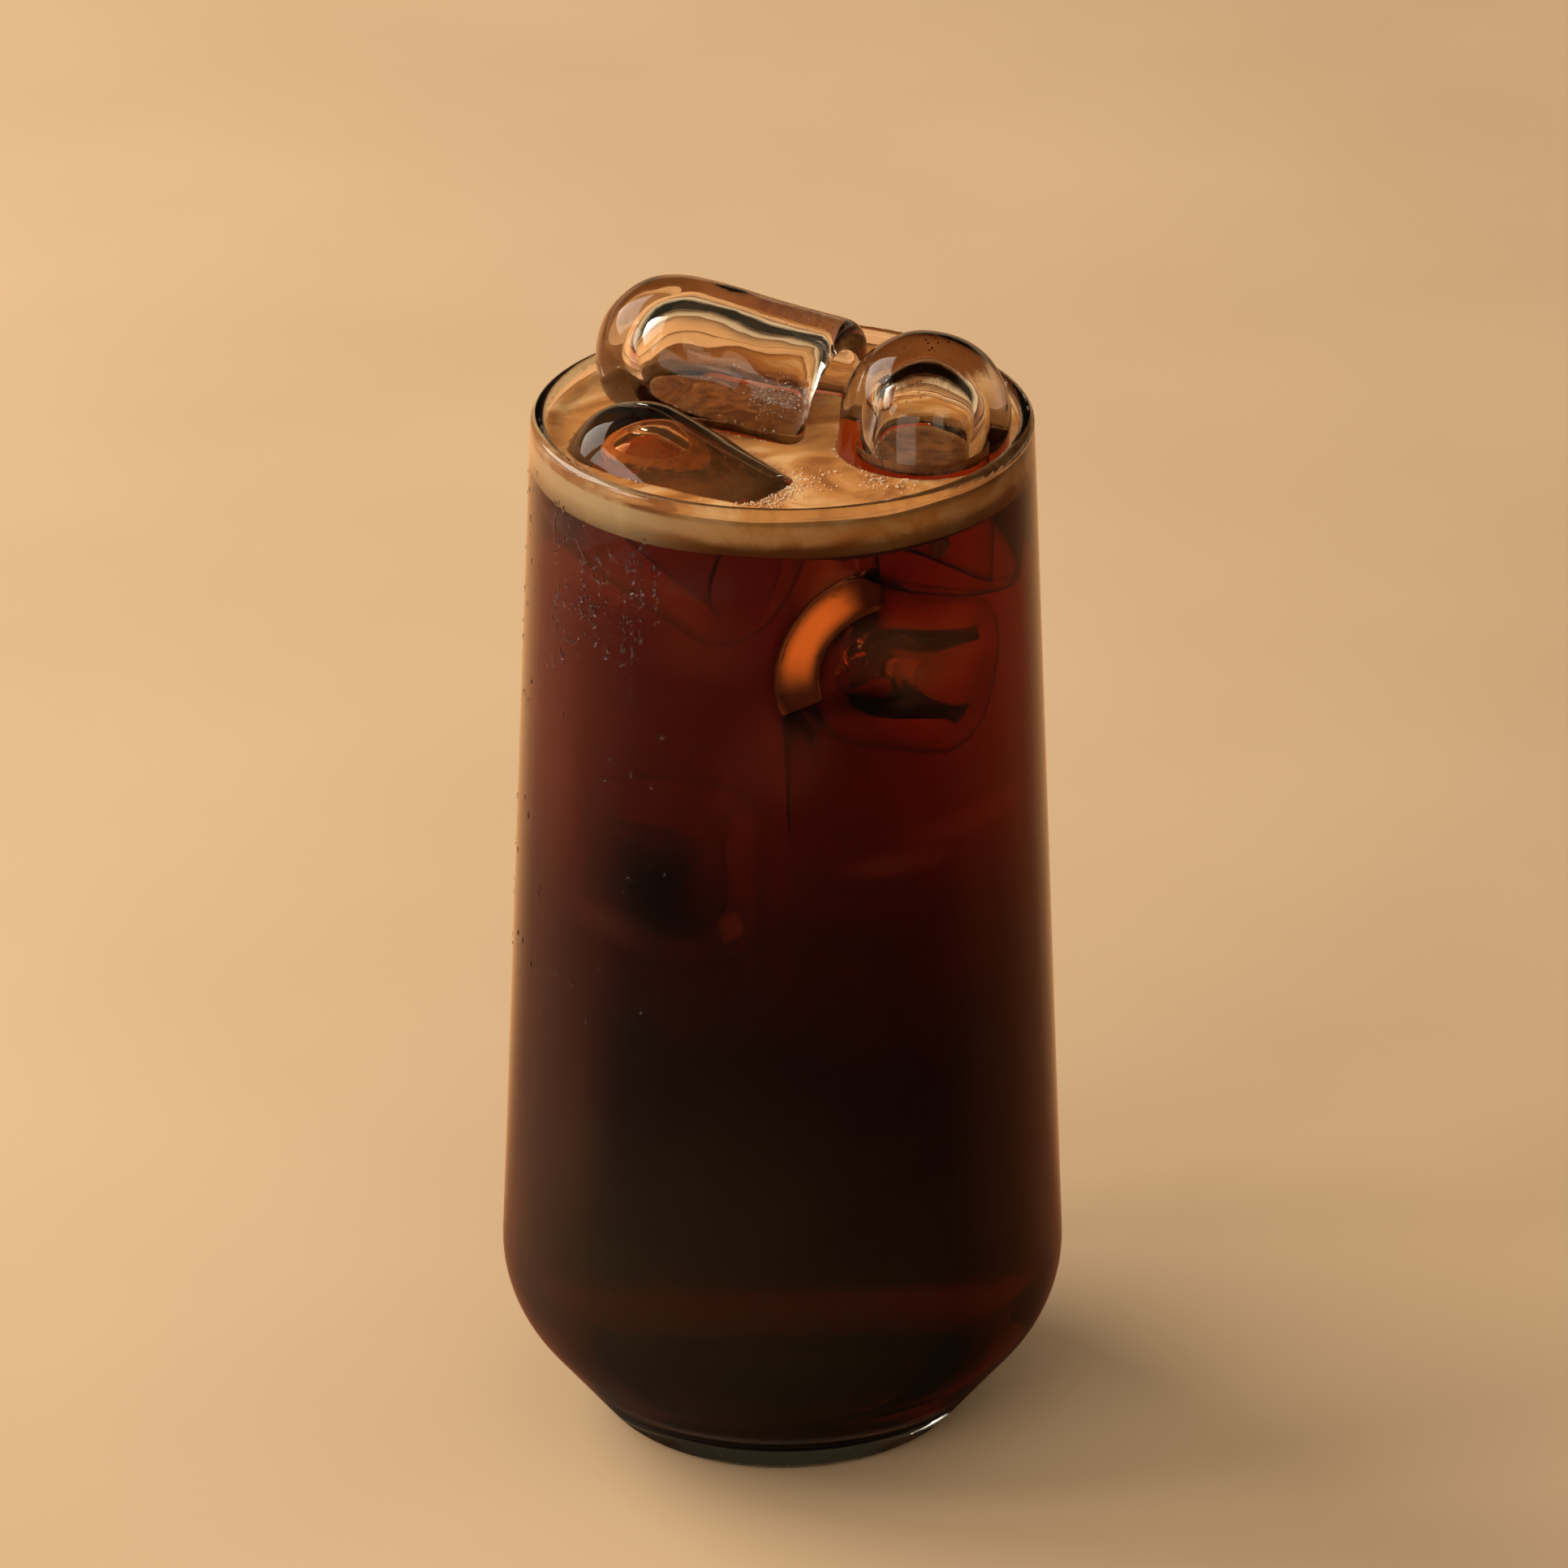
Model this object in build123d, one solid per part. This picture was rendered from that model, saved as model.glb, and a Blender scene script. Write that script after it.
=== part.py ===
"""Iced coffee in a tall clear tumbler, with three thimble-shaped pieces of ice standing out of the crema.

Millimetres, +Z up. The origin is the centre of the foot's underside, and the glass stands on the plane z = 0.
"""

from build123d import *
from math import cos, radians, sin
import os

# The tumbler: foot, slanted lower wall, rounded shoulder, then a straight taper up to the rim
HEIGHT = 143.5
RIM_RADIUS = 32.5
SHOULDER_RADIUS = 38.4
SHOULDER_HEIGHT = 17.4
SHOULDER_ROUND = 18.0
FOOT_RADIUS = 25.0
FOOT_ROUND = 1.8
PUNT_RADIUS = 18.0
PUNT_DEPTH = 0.8
PUNT_SLOPE = 3.0
WALL = 2.0
BASE_THICKNESS = 5.2
FLOOR_ROUND = 7.0
LIP_ROUND_SHARE = 0.47

# The drink
HEADSPACE = 2.2
CREMA_THICKNESS = 4.8

# Ice: each piece is a cone with a round tip and a hollow from its open mouth
ICE_WALL = 4.3
ICE_TIP_THICKNESS = 5.2
ICE_MOUTH_ROUND = 1.6
ICE_HOLLOW_MOUTH_ROUND = 1.2
ICE_HOLLOW_TAPER = 0.6

# Each piece's round tip: its centre across, back and above the rim, the way that it points, and its sizes
ICE_PIECES = {
    "ice_back": dict(centre=(-13.9, 14.1, 2.3), turn=-26, dip=8, tip=10.6, mouth=11.4, length=23.0),
    "ice_front": dict(centre=(-18.2, -5.6, -7.3), turn=-43, dip=14, tip=10.5, mouth=11.4, length=21.5),
    "ice_right": dict(centre=(18.4, -4.4, 1.3), turn=-112, dip=75, tip=11.0, mouth=11.2, length=21.0),
}
# Pieces whose mouth is under the drink, so that coffee stands inside them
DROWNED = ("ice_front", "ice_right")

CREMA_TOP = HEIGHT - HEADSPACE
COFFEE_TOP = CREMA_TOP - CREMA_THICKNESS


def spin(path):
    """Revolve the face between an open path, drawn as radius and height, and the Z axis."""
    closing = Line(path @ 1, path @ 0)
    return revolve(Plane.XZ * make_face(Curve() + [path, closing]), Axis.Z)


def offset_corner(inward, before, corner, after):
    """The corner of two straight walls after both have moved inward by the wall thickness."""
    first = (corner - before).normalized()
    second = (after - corner).normalized()
    normals = [Vector(-line.Y, line.X) for line in (first, second)]
    bisector = (normals[0] + normals[1]).normalized()
    return corner + bisector * (inward / bisector.dot(normals[0]))


def outer_corners():
    foot = Vector(FOOT_RADIUS, 0)
    shoulder = Vector(SHOULDER_RADIUS, SHOULDER_HEIGHT)
    rim = Vector(RIM_RADIUS, HEIGHT)
    return foot, shoulder, rim


def inner_radius(height):
    """The radius of the straight inner wall at a height above the shoulder."""
    foot, shoulder, rim = outer_corners()
    corner = offset_corner(WALL, foot, shoulder, rim)
    slope = (rim.X - shoulder.X) / (rim.Y - shoulder.Y)
    return corner.X + slope * (height - corner.Y)


def inner_corners():
    """The inner shoulder, and the corner where the slanted wall meets the floor."""
    foot, shoulder, rim = outer_corners()
    inner_shoulder = offset_corner(WALL, foot, shoulder, rim)
    slant = (shoulder.X - foot.X) / (shoulder.Y - foot.Y)
    floor_radius = inner_shoulder.X - slant * (inner_shoulder.Y - BASE_THICKNESS)
    return inner_shoulder, Vector(floor_radius, BASE_THICKNESS)


def make_glass():
    foot, shoulder, rim = outer_corners()
    inner_shoulder, floor = inner_corners()
    lip = WALL * LIP_ROUND_SHARE
    corners = [
        (0, PUNT_DEPTH),
        (PUNT_RADIUS, PUNT_DEPTH),
        (PUNT_RADIUS + PUNT_SLOPE, 0),
        foot,
        shoulder,
        rim,
        (inner_radius(HEIGHT), HEIGHT),
        inner_shoulder,
        floor,
        (0, BASE_THICKNESS),
    ]
    rounds = [PUNT_SLOPE, PUNT_SLOPE, FOOT_ROUND, SHOULDER_ROUND, lip, lip, SHOULDER_ROUND - WALL, FLOOR_ROUND]
    return spin(FilletPolyline(*corners, radius=rounds))


def make_filling(level):
    """Everything inside the tumbler up to a level."""
    inner_shoulder, floor = inner_corners()
    corners = [(0, BASE_THICKNESS), floor, inner_shoulder, (inner_radius(level), level), (0, level)]
    path = FilletPolyline(*corners[:-1], radius=[FLOOR_ROUND, SHOULDER_ROUND - WALL])
    lid = Line(corners[-2], corners[-1])
    return revolve(Plane.XZ * make_face(Curve() + [path, lid, Line(corners[-1], corners[0])]), Axis.Z)


def make_slab(bottom, top):
    """The drink's whole width between two levels on the straight wall."""
    centre = (bottom + top) / 2
    return Pos(0, 0, centre) * Cone(inner_radius(bottom), inner_radius(top), top - bottom)


def bullet(tip, mouth, length, mouth_round):
    """A cone with a round tip below the origin and its mouth up at the length."""
    tip_arc = CenterArc((0, 0), tip, -90, 90)
    side = FilletPolyline((tip, 0), (mouth, length), (0, length), radius=[mouth_round])
    return revolve(Plane.XZ * make_face(Curve() + [tip_arc, side, Line((0, length), (0, -tip))]), Axis.Z)


def ice_place(piece):
    """The plane at the centre of the round tip, whose z runs out through the mouth."""
    across, back, above = piece["centre"]
    turn, dip = radians(piece["turn"]), radians(piece["dip"])
    aim = Vector(cos(dip) * cos(turn), cos(dip) * sin(turn), -sin(dip))
    return Plane(origin=(across, back, HEIGHT + above), z_dir=aim)


def make_ice_body(piece):
    """The piece's outer form, as if it had no hollow."""
    return ice_place(piece) * bullet(piece["tip"], piece["mouth"], piece["length"], ICE_MOUTH_ROUND)


def make_ice(piece):
    hollow_mouth = piece["mouth"] - ICE_WALL
    hollow_tip = hollow_mouth - ICE_HOLLOW_TAPER
    start = hollow_tip + ICE_TIP_THICKNESS - piece["tip"]
    body = bullet(piece["tip"], piece["mouth"], piece["length"], ICE_MOUTH_ROUND)
    depth = piece["length"] - start
    hollow = Pos(0, 0, start) * bullet(hollow_tip, hollow_mouth, depth + ICE_MOUTH_ROUND, ICE_MOUTH_ROUND / 2)
    ice = body - hollow
    mouth_edges = ice.edges().filter_by(GeomType.CIRCLE).group_by(Axis.Z)[-1]
    inner_edge = mouth_edges.sort_by(SortBy.RADIUS)[0]
    return ice_place(piece) * fillet(inner_edge, ICE_HOLLOW_MOUTH_ROUND)


def make_crema(ice):
    """The foam layer, cut round the ice and with none inside the drowned pieces."""
    crema = make_slab(COFFEE_TOP, CREMA_TOP)
    for name, piece in ICE_PIECES.items():
        crema -= make_ice_body(piece) if name in DROWNED else ice[name]
    return crema


def make_coffee(ice, crema):
    """All the drink under the foam, which also stands inside the drowned pieces."""
    coffee = make_filling(CREMA_TOP) - crema
    for piece in ice.values():
        coffee -= piece
    return coffee


def main():
    ice = {name: make_ice(piece) for name, piece in ICE_PIECES.items()}
    crema = make_crema(ice)
    nodes = {"glass": make_glass(), "coffee": make_coffee(ice, crema), "crema": crema, **ice}
    os.makedirs("parts", exist_ok=True)
    for name, shape in nodes.items():
        export_step(shape, f"parts/{name}.step")


main()
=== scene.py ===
"""The looks of the iced coffee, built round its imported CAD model. Metres, in the model's own frame."""

import bmesh
import bpy
import math
import numpy as np
import random
from mathutils import Matrix, Vector, noise
from mathutils.bvhtree import BVHTree


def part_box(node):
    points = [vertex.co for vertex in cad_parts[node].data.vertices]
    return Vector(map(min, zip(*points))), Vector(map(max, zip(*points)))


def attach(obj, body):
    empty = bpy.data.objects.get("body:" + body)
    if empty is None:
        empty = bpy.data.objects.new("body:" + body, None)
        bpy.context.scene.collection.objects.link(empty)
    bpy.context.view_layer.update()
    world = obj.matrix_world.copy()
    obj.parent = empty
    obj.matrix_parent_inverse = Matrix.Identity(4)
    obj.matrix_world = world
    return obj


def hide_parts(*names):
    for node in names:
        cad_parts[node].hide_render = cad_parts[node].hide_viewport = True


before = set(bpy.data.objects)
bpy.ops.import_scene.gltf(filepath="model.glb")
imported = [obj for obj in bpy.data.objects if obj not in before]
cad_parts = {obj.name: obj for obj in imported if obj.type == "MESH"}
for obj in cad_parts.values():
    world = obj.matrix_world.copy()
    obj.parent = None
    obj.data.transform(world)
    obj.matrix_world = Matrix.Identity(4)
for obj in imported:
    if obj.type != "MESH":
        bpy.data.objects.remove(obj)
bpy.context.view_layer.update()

MM = 0.001
GLASS_LOW, GLASS_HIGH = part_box("glass")
CREMA_LOW, CREMA_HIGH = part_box("crema")
HEIGHT = GLASS_HIGH.z
LEVEL = CREMA_HIGH.z
FOAM_BOTTOM = CREMA_LOW.z
ICE_NODES = ("ice_back", "ice_front", "ice_right")
# pieces of ice that get a wet look where they lie in the drink
DROWNED = ("ice_front", "ice_right")

# how many sides the drink and its foam have, and the sunk ice before it is smoothed
TURNS, BULLET_TURNS = 192, 64
# how far the drink reaches into the glass and into the ice, so that no gap of air shows
INTO_WALL = 0.35 * MM
INTO_ICE = 0.12 * MM
ICE_VOXEL = 0.45 * MM
# how strongly each clear thing bends light; the sunk ice is kept close to the drink, so its outline is soft
GLASS_BEND, DRINK_BEND, ICE_BEND, SUNK_BEND = 1.5, 1.33, 1.31, 1.335


# ---------------------------------------------------------------- shapes

def side_profile(node):
    """The convex outline of a round node from its bottom centre up, as (radius, height) pairs."""
    corners = [v.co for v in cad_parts[node].data.vertices]
    spots = {(round(math.hypot(c.x, c.y), 6), round(c.z, 6)) for c in corners}
    heights = [z for _, z in spots]
    ends = {(0.0, min(heights)), (0.0, max(heights))}
    points = sorted(spots | ends, key=lambda p: (p[1], p[0]))
    hull = []
    for p in points:
        while len(hull) > 1:
            (ax, az), (bx, bz) = hull[-2:]
            if (bx - ax) * (p[1] - az) - (bz - az) * (p[0] - ax) > 0:
                break
            hull.pop()
        hull.append(p)
    return hull


def radius_at(profile, height):
    """How wide an outline is at a height."""
    return float(np.interp(height, [z for _, z in profile], [r for r, _ in profile]))


def add_object(name, mesh, material):
    """A smooth-shaded object with one material, in the scene."""
    piece = bpy.data.objects.new(name, mesh)
    bpy.context.scene.collection.objects.link(piece)
    mesh.materials.clear()
    mesh.materials.append(material)
    mesh.shade_smooth()
    return piece


def mesh_from(name, corners, faces):
    mesh = bpy.data.meshes.new(name)
    mesh.from_pydata([tuple(c) for c in corners], [], faces)
    mesh.update()
    return mesh


def revolved(name, profile, turns=TURNS):
    """A closed mesh from an outline that starts and ends on the Z axis."""
    rings = profile[1:-1]
    corners = [(0, 0, profile[0][1])]
    for radius, height in rings:
        for k in range(turns):
            angle = 2 * math.pi * k / turns
            corners.append((radius * math.cos(angle), radius * math.sin(angle), height))
    corners.append((0, 0, profile[-1][1]))
    faces = [(0, 1 + (k + 1) % turns, 1 + k) for k in range(turns)]
    for ring in range(len(rings) - 1):
        low = 1 + ring * turns
        for k in range(turns):
            after = (k + 1) % turns
            faces.append((low + k, low + after, low + turns + after, low + turns + k))
    low, top = 1 + (len(rings) - 1) * turns, len(corners) - 1
    faces += [(low + k, low + (k + 1) % turns, top) for k in range(turns)]
    return mesh_from(name, corners, faces)


def applied(piece):
    """The piece's mesh with its modifiers applied."""
    graph = bpy.context.evaluated_depsgraph_get()
    mesh = bpy.data.meshes.new_from_object(piece.evaluated_get(graph))
    piece.modifiers.clear()
    piece.data = mesh
    return mesh


def remeshed(mesh, voxel, smoothing):
    """A copy of a closed mesh with even faces and softened edges."""
    piece = bpy.data.objects.new("remesh", mesh.copy())
    bpy.context.scene.collection.objects.link(piece)
    even = piece.modifiers.new("even", "REMESH")
    even.mode = "VOXEL"
    even.voxel_size = voxel
    soft = piece.modifiers.new("soft", "SMOOTH")
    soft.factor = 0.5
    soft.iterations = smoothing
    result = applied(piece)
    bpy.data.objects.remove(piece)
    return result


def pushed(mesh, distance_at):
    """Moves every corner of a mesh along its normal by distance_at(corner)."""
    for v, normal in zip(mesh.vertices, [n.vector.copy() for n in mesh.vertex_normals]):
        v.co += normal * distance_at(v.co)
    mesh.update()
    return mesh


def carved(mesh, cutters):
    """A closed mesh with other closed meshes cut out of it."""
    piece = bpy.data.objects.new("carved", mesh)
    bpy.context.scene.collection.objects.link(piece)
    for cutter in cutters:
        cutter.materials.clear()
        tool = bpy.data.objects.new("cutter", cutter)
        bpy.context.scene.collection.objects.link(tool)
        cut = piece.modifiers.new("cut", "BOOLEAN")
        cut.operation = "DIFFERENCE"
        cut.solver = "MANIFOLD"
        cut.object = tool
        applied(piece)
        bpy.data.objects.remove(tool)
    result = piece.data
    bpy.data.objects.remove(piece)
    result.polygons.foreach_set("material_index", [0] * len(result.polygons))
    return result


def ball():
    """The corners and faces of a small round ball of radius 1."""
    shape = bmesh.new()
    bmesh.ops.create_icosphere(shape, subdivisions=2, radius=1)
    corners = [v.co.copy() for v in shape.verts]
    faces = [tuple(v.index for v in face.verts) for face in shape.faces]
    shape.free()
    return corners, faces


BALL_CORNERS, BALL_FACES = ball()


def balls(name, places, inward=False):
    """One mesh of small balls, one for each matrix. Bubbles inside a solid have faces that look inward."""
    turned = [face[::-1] if inward else face for face in BALL_FACES]
    corners, faces = [], []
    for place in places:
        first = len(corners)
        corners += [place @ corner for corner in BALL_CORNERS]
        faces += [tuple(first + c for c in face) for face in turned]
    return mesh_from(name, corners, faces)


def sphere_at(centre, radius):
    """The matrix that puts a ball of a given radius at a spot."""
    return Matrix.Translation(centre) @ Matrix.Scale(radius, 4)


def joined(name, meshes):
    """Several meshes as one."""
    shape = bmesh.new()
    for mesh in meshes:
        shape.from_mesh(mesh)
    result = bpy.data.meshes.new(name)
    shape.to_mesh(result)
    shape.free()
    return result


# ---------------------------------------------------------------- materials

def new_material(name):
    """A new material, its node tree and its main shader."""
    material = bpy.data.materials.new(name)
    material.use_nodes = True
    return material, material.node_tree, material.node_tree.nodes["Principled BSDF"]


def add(tree, kind, **values):
    """A node with its settings, and any of its inputs, set by name."""
    node = tree.nodes.new(kind)
    for key, value in values.items():
        if key in node.inputs:
            node.inputs[key].default_value = value
        else:
            setattr(node, key, value)
    return node


def position(tree):
    """Where a point is, in metres, in the model's frame."""
    return add(tree, "ShaderNodeTexCoord").outputs["Object"]


def axis_of(tree, where, axis):
    """One of a position's three numbers."""
    node = add(tree, "ShaderNodeSeparateXYZ")
    tree.links.new(where, node.inputs["Vector"])
    return node.outputs[axis]


def vector_math(tree, operation, vector, other=(0, 0, 0)):
    """A calculation with a vector output and a fixed second vector."""
    node = add(tree, "ShaderNodeVectorMath", operation=operation)
    tree.links.new(vector, node.inputs[0])
    node.inputs[1].default_value = other
    gives_number = operation in ("LENGTH", "DISTANCE", "DOT_PRODUCT")
    return node.outputs["Value" if gives_number else "Vector"]


def reach_of(tree, where):
    """How far a point is from the model's Z axis."""
    return vector_math(tree, "LENGTH", vector_math(tree, "MULTIPLY", where, (1, 1, 0)))


def noise_at(tree, where, scale, detail=3.0, distortion=0.0, rough=0.5):
    """Noise whose features are about 1 / scale metres across."""
    texture = add(tree, "ShaderNodeTexNoise")
    texture.inputs["Scale"].default_value = scale
    texture.inputs["Detail"].default_value = detail
    texture.inputs["Roughness"].default_value = rough
    texture.inputs["Distortion"].default_value = distortion
    tree.links.new(where, texture.inputs["Vector"])
    return texture.outputs["Fac"]


def uneven_height(tree, where, swirl, most):
    """A point's height, moved up or down by a noise, so that bands of colour get an uneven edge."""
    return math_node(tree, "ADD", axis_of(tree, where, "Z"), span(tree, swirl, 0.3, 0.7, -most, most))


def ramp(tree, source, stops):
    """A colour ramp over (position, colour) stops."""
    node = tree.nodes.new("ShaderNodeValToRGB")
    node.color_ramp.interpolation = "EASE"
    while len(node.color_ramp.elements) < len(stops):
        node.color_ramp.elements.new(0.5)
    for element, (spot, colour) in zip(node.color_ramp.elements, stops):
        element.position = spot
        element.color = (*colour, 1)
    tree.links.new(source, node.inputs["Fac"])
    return node.outputs["Color"]


def span(tree, source, low, high, to_low=0.0, to_high=1.0):
    """Maps a value's range onto another, smoothly and clamped."""
    node = add(tree, "ShaderNodeMapRange", interpolation_type="SMOOTHSTEP")
    for name, value in (("From Min", low), ("From Max", high), ("To Min", to_low), ("To Max", to_high)):
        node.inputs[name].default_value = value
    tree.links.new(source, node.inputs["Value"])
    return node.outputs["Result"]


def math_node(tree, operation, a, b):
    """A calculation with two values, each a number or an output."""
    node = add(tree, "ShaderNodeMath", operation=operation)
    for socket, value in zip(node.inputs, (a, b)):
        if isinstance(value, (int, float)):
            socket.default_value = value
        else:
            tree.links.new(value, socket)
    return node.outputs["Value"]


def product(tree, *values):
    """Numbers and outputs multiplied together."""
    result = values[0]
    for value in values[1:]:
        result = math_node(tree, "MULTIPLY", result, value)
    return result


def mixed(tree, factor, a, b):
    """A colour from a to b by factor, each a fixed value or an output."""
    node = tree.nodes.new("ShaderNodeMix")
    node.data_type = "RGBA"
    for name, value in (("Factor", factor), ("A", a), ("B", b)):
        socket = [s for s in node.inputs if s.name == name and (name == "Factor" or s.type == "RGBA")][0]
        if isinstance(value, (int, float)):
            socket.default_value = value
        elif isinstance(value, tuple):
            socket.default_value = (*value, 1)
        else:
            tree.links.new(value, socket)
    return [s for s in node.outputs if s.type == "RGBA"][0]


def bumped(tree, shader, height, distance, strength=1.0):
    """Gives a shader a fine relief from a height value."""
    node = add(tree, "ShaderNodeBump", Strength=strength, Distance=distance)
    tree.links.new(height, node.inputs["Height"])
    tree.links.new(node.outputs["Normal"], shader.inputs["Normal"])


def clear_shader(shader, ior, tint=(1, 1, 1)):
    """Makes a shader smooth and clear."""
    shader.inputs["Base Color"].default_value = (*tint, 1)
    shader.inputs["Transmission Weight"].default_value = 1
    shader.inputs["IOR"].default_value = ior
    shader.inputs["Roughness"].default_value = 0


def absorbing(tree, colour, density):
    """Fills a material with a tint that deepens with thickness."""
    node = add(tree, "ShaderNodeVolumeAbsorption", Color=(*colour, 1), Density=density)
    tree.links.new(node.outputs["Volume"], tree.nodes["Material Output"].inputs["Volume"])


def glass_material():
    """Clear glass with a faint, uneven cast."""
    material, tree, shader = new_material("clear_glass")
    clear_shader(shader, GLASS_BEND)
    where = position(tree)
    cast = ramp(tree, noise_at(tree, where, 25, 2), [(0.35, (0.985, 0.99, 0.975)), (0.65, (1.0, 1.0, 1.0))])
    tree.links.new(cast, shader.inputs["Base Color"])
    absorbing(tree, (0.74, 0.8, 0.62), 8)
    return material


# colours of the painted glows in the drink, and of its painted shade
RED, BROWN, GOLD, DULL = (0.7, 0.16, 0.07), (0.72, 0.27, 0.1), (1.0, 0.52, 0.2), (0.45, 0.17, 0.08)
SHADE = (0.035, 0.025, 0.02)
COFFEE_AND_SHADE_BY_DEPTH = (
    # from the bottom to the top: share of the way up, and colour; the dark lower colours are painted shade
    (0.0, (0.1, 0.066, 0.03)),
    (0.3, (0.07, 0.043, 0.028)),
    (0.6, (0.3, 0.095, 0.06)),
    (1.0, (0.48, 0.16, 0.1)),
)
PAINTED_GLOWS = (
    # painted light: cloudy patches near the wall in lit colours: x, height, half width, half height, all in
    # mm, strength and colour
    (-19.0, 130.0, 9.0, 3.2, 0.12, RED),
    (-10.0, 124.5, 6.5, 4.5, 0.09, RED),
    (-29.0, 112.0, 4.0, 24.0, 0.10, RED),
    (17.8, 121.4, 6.2, 5.4, 0.20, BROWN),
    (12.0, 124.6, 5.0, 3.2, 0.13, BROWN),
    (15.4, 118.4, 2.0, 3.0, 0.06, GOLD),
    (15.0, 93.6, 6.0, 1.7, 0.12, RED),
    (23.5, 96.6, 7.5, 1.8, 0.10, RED),
    (-5.6, 105.5, 3.0, 7.0, 0.06, RED),
    (-20.0, 83.0, 6.0, 2.4, 0.06, RED),
    (-28.0, 62.0, 4.0, 20.0, 0.04, DULL),
    (1.0, 110.5, 5.0, 6.5, 0.12, RED),
)
# shaded places: x, height, half width, half height, all in mm, and strength
DARK_OVALS = ((-14.4, 89.0, 8.6, 6.8, 0.9), (9.6, 116.9, 5.6, 2.2, 0.95))
# light carried by a curved sheet of sunk ice: x and height of its centre and its radius in mm,
# and the angle in degrees at which it is brightest
ARC_CENTRE, ARC_RADIUS, ARC_ANGLE = (13.0, 120.3), 11.3, 148
# painted glow and painted shade on the front of the drink, over the light the sheet carries: their colours
ARC_GLOW_PAINT, ARC_SHADE_PAINT = (1.0, 0.36, 0.1), (0.05, 0.009, 0.005)
# half width in mm and half sweep in degrees of the painted glow along the arc and of the painted shade
# round it
GLOW_PAINT_REACH, SHADE_PAINT_REACH = (2.8, 43), (4.3, 76)


def oval(tree, where, x, z, wide, high):
    """1 at the middle of an upright oval, fading to 0 past its edge."""
    scaled = vector_math(tree, "MULTIPLY", where, (1 / (wide * MM), 0, 1 / (high * MM)))
    gap = vector_math(tree, "DISTANCE", scaled, (x / wide, 0, z / high))
    return span(tree, gap, 0.3, 1.6, 1.0, 0.0)


def arc(tree, where, half, sweep):
    """1 along part of an upright ring, fading to 0 off it and towards its ends."""
    away = vector_math(tree, "SUBTRACT", where, (ARC_CENTRE[0] * MM, 0, ARC_CENTRE[1] * MM))
    flat = vector_math(tree, "MULTIPLY", away, (1, 0, 1))
    beyond = math_node(tree, "SUBTRACT", vector_math(tree, "LENGTH", flat), ARC_RADIUS * MM)
    off = math_node(tree, "ABSOLUTE", beyond, 0)
    brightest = (math.cos(math.radians(ARC_ANGLE)), 0, math.sin(math.radians(ARC_ANGLE)))
    along = vector_math(tree, "DOT_PRODUCT", vector_math(tree, "NORMALIZE", flat), brightest)
    ends = span(tree, along, math.cos(math.radians(sweep)), math.cos(math.radians(0.2 * sweep)))
    return product(tree, span(tree, off, 0.25 * half * MM, half * MM, 1.0, 0.0), ends)


def coffee_material():
    """Slightly cloudy coffee, darkened towards the bottom by painted shade, with painted glows and painted
    shade on its front over the sunk ice.
    """
    material, tree, shader = new_material("black_coffee")
    clear_shader(shader, DRINK_BEND)
    shader.inputs["Specular Tint"].default_value = (0.04, 0.04, 0.04, 1)
    where = position(tree)
    swirl = noise_at(tree, where, 45, 3, 1.0)
    # painted shade: the drink's colour darkens towards the bottom, where a heavier cloud shows that dark
    # colour
    depth = span(tree, uneven_height(tree, where, swirl, 6 * MM), 20 * MM, 132 * MM)
    colour = ramp(tree, depth, COFFEE_AND_SHADE_BY_DEPTH)
    cloud = math_node(tree, "ADD", span(tree, depth, 0.0, 0.55, 0.39, 0.0), 0.065)
    front = span(tree, axis_of(tree, where, "Y"), -8 * MM, -2 * MM, 1.0, 0.0)
    ragged = product(tree, front, span(tree, swirl, 0.25, 0.6, 0.6, 1.0))
    # painted light: each glow brings a lit colour and some cloud into the front of the drink
    for *place, strength, glow in PAINTED_GLOWS:
        share = product(tree, oval(tree, where, *place), strength, ragged)
        colour = mixed(tree, product(tree, share, 8), colour, glow)
        cloud = math_node(tree, "ADD", cloud, share)
    for *place, strength in DARK_OVALS:
        share = product(tree, oval(tree, where, *place), strength, front)
        colour = mixed(tree, share, colour, SHADE)
    # painted shade round the arc, then a painted glow along it
    colour = mixed(tree, product(tree, arc(tree, where, *SHADE_PAINT_REACH), front, 2), colour, ARC_SHADE_PAINT)
    colour = mixed(tree, product(tree, arc(tree, where, *GLOW_PAINT_REACH), front), colour, ARC_GLOW_PAINT)
    # the cloud and its colours are only on the outside, not where the ice is cut out of the drink
    outer = span(tree, reach_of(tree, where), 28 * MM, 30 * MM)
    tree.links.new(mixed(tree, outer, (1, 1, 1), colour), shader.inputs["Base Color"])
    cloud = product(tree, outer, math_node(tree, "MINIMUM", cloud, 0.7))
    tree.links.new(math_node(tree, "SUBTRACT", 1, cloud), shader.inputs["Transmission Weight"])
    absorbing(tree, (0.8, 0.48, 0.06), 142)
    return material


def near(tree, where, centre, reach, soft):
    """1 within reach of a spot, seen from above, fading to 0 over soft."""
    flat = vector_math(tree, "MULTIPLY", where, (1, 1, 0))
    gap = vector_math(tree, "DISTANCE", flat, (centre[0], centre[1], 0))
    return span(tree, gap, reach - soft, reach + soft, 1.0, 0.0)


CREMA_PALE, CREMA_GOLD, CREMA_TAN = (0.88, 0.49, 0.2), (0.66, 0.27, 0.065), (0.4, 0.13, 0.025)
CREMA_BACK, CREMA_LOW_SHADE = (0.36, 0.1, 0.016), (0.36, 0.1, 0.018)
# the side of the foam through the glass, in colours lighter than its top as painted light: its left, lit
# most, and its swirls elsewhere
SIDE_LIT_LEFT, SIDE_DEEP, SIDE_PALE = (1.0, 0.7, 0.34), (0.85, 0.28, 0.05), (1.0, 0.5, 0.16)
STAINS = (
    # the foam round each piece of ice is browner: how far and how softly in mm, and how much
    ("ice_back", 13, 3, 1.0),
    ("ice_front", 8, 3, 0.75),
    ("ice_right", 7, 1.2, 1.0),
)


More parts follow.
